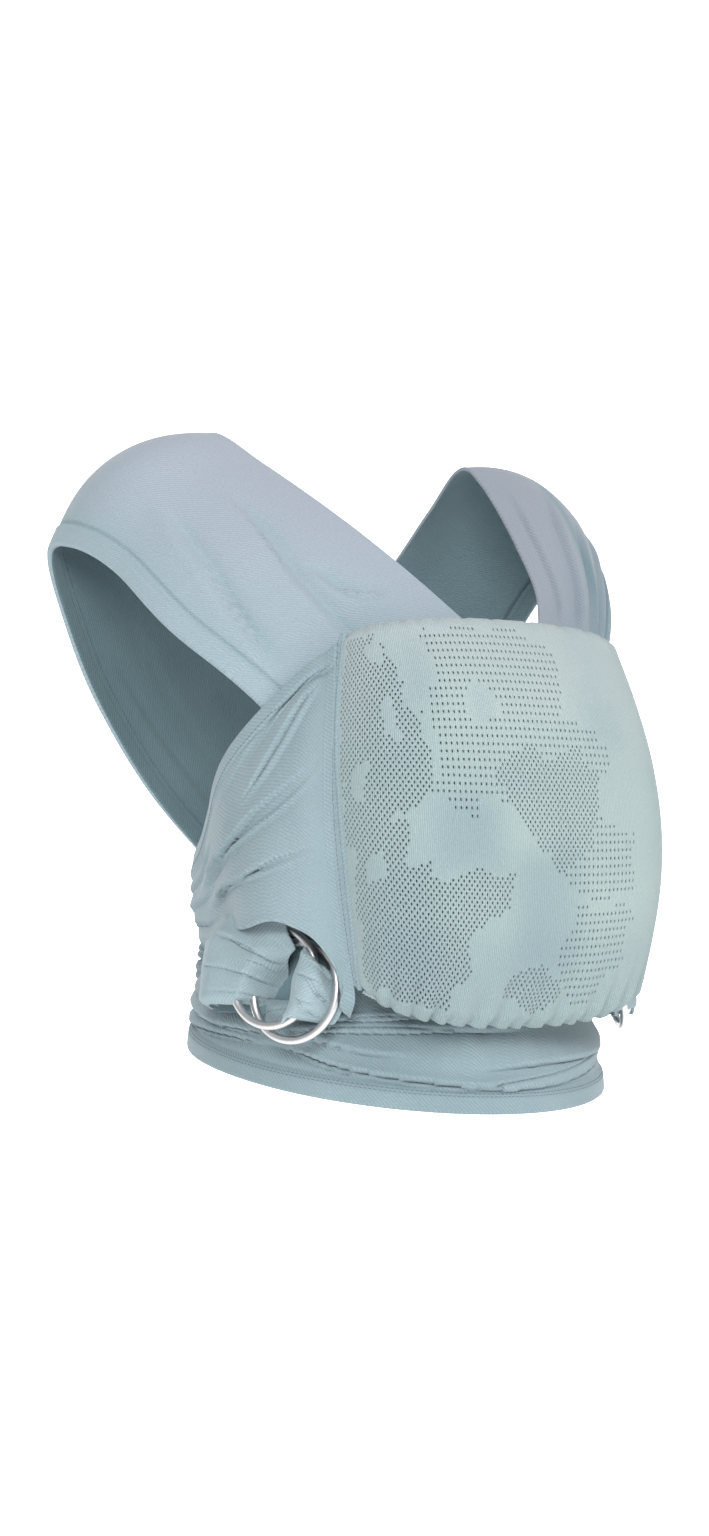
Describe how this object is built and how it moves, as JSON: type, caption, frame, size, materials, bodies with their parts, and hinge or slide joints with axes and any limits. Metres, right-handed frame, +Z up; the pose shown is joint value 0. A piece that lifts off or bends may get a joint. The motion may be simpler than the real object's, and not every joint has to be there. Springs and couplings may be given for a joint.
{
  "type": "baby wrap sling",
  "caption": "Pre-wrapped baby sling: crossed shoulder straps, stretch front panel with side wings, waist band and a pair of sling rings on each hip.",
  "frame": {"origin": "on the wearer's body axis, level with the lowest point of the waist hem", "axes": "+Z up along the wearer's body, -Y to the wearer's front, +X to the wearer's left"},
  "size_m": [0.4318, 0.3583, 0.4727],
  "materials": {
    "strap_jersey": "matte doubled jersey, grey blue",
    "body_jersey": "matte jersey with a fine diagonal rib, grey teal",
    "binding_jersey": "folded jersey binding",
    "panel_knit": "openwork pointelle knit, pale grey green",
    "elastic_tape": "woven elastic",
    "label_tape": "plain woven label",
    "ring_metal": "satin, drawn wire"
  },
  "bodies": {
    "sling": {"right_shoulder_strap": "strap_jersey", "left_shoulder_strap": "strap_jersey", "front_panel": "panel_knit", "panel_top_elastic": "elastic_tape", "panel_bottom_elastic": "elastic_tape", "right_wing": "body_jersey", "left_wing": "body_jersey", "right_wing_binding": "binding_jersey", "left_wing_binding": "binding_jersey", "waist_band": "body_jersey", "right_ring_anchor": "body_jersey", "left_ring_anchor": "body_jersey", "care_label": "label_tape"},
    "right_rings": {"right_upper_ring": "ring_metal", "right_lower_ring": "ring_metal", "right_tail_loop": "body_jersey"},
    "left_rings": {"left_upper_ring": "ring_metal", "left_lower_ring": "ring_metal", "left_tail_loop": "body_jersey"}
  },
  "joints": [
    {"name": "right_rings_lift", "type": "hinge", "parent": "sling", "child": "right_rings", "pos_m": [-0.14698, -0.11086, 0.07976], "axis": [-0.1656, -0.0883, -0.9822], "range_deg": [0, 10]},
    {"name": "left_rings_lift", "type": "hinge", "parent": "sling", "child": "left_rings", "pos_m": [0.14698, -0.11086, 0.07976], "axis": [-0.1656, 0.0883, 0.9822], "range_deg": [0, 10]}
  ]
}
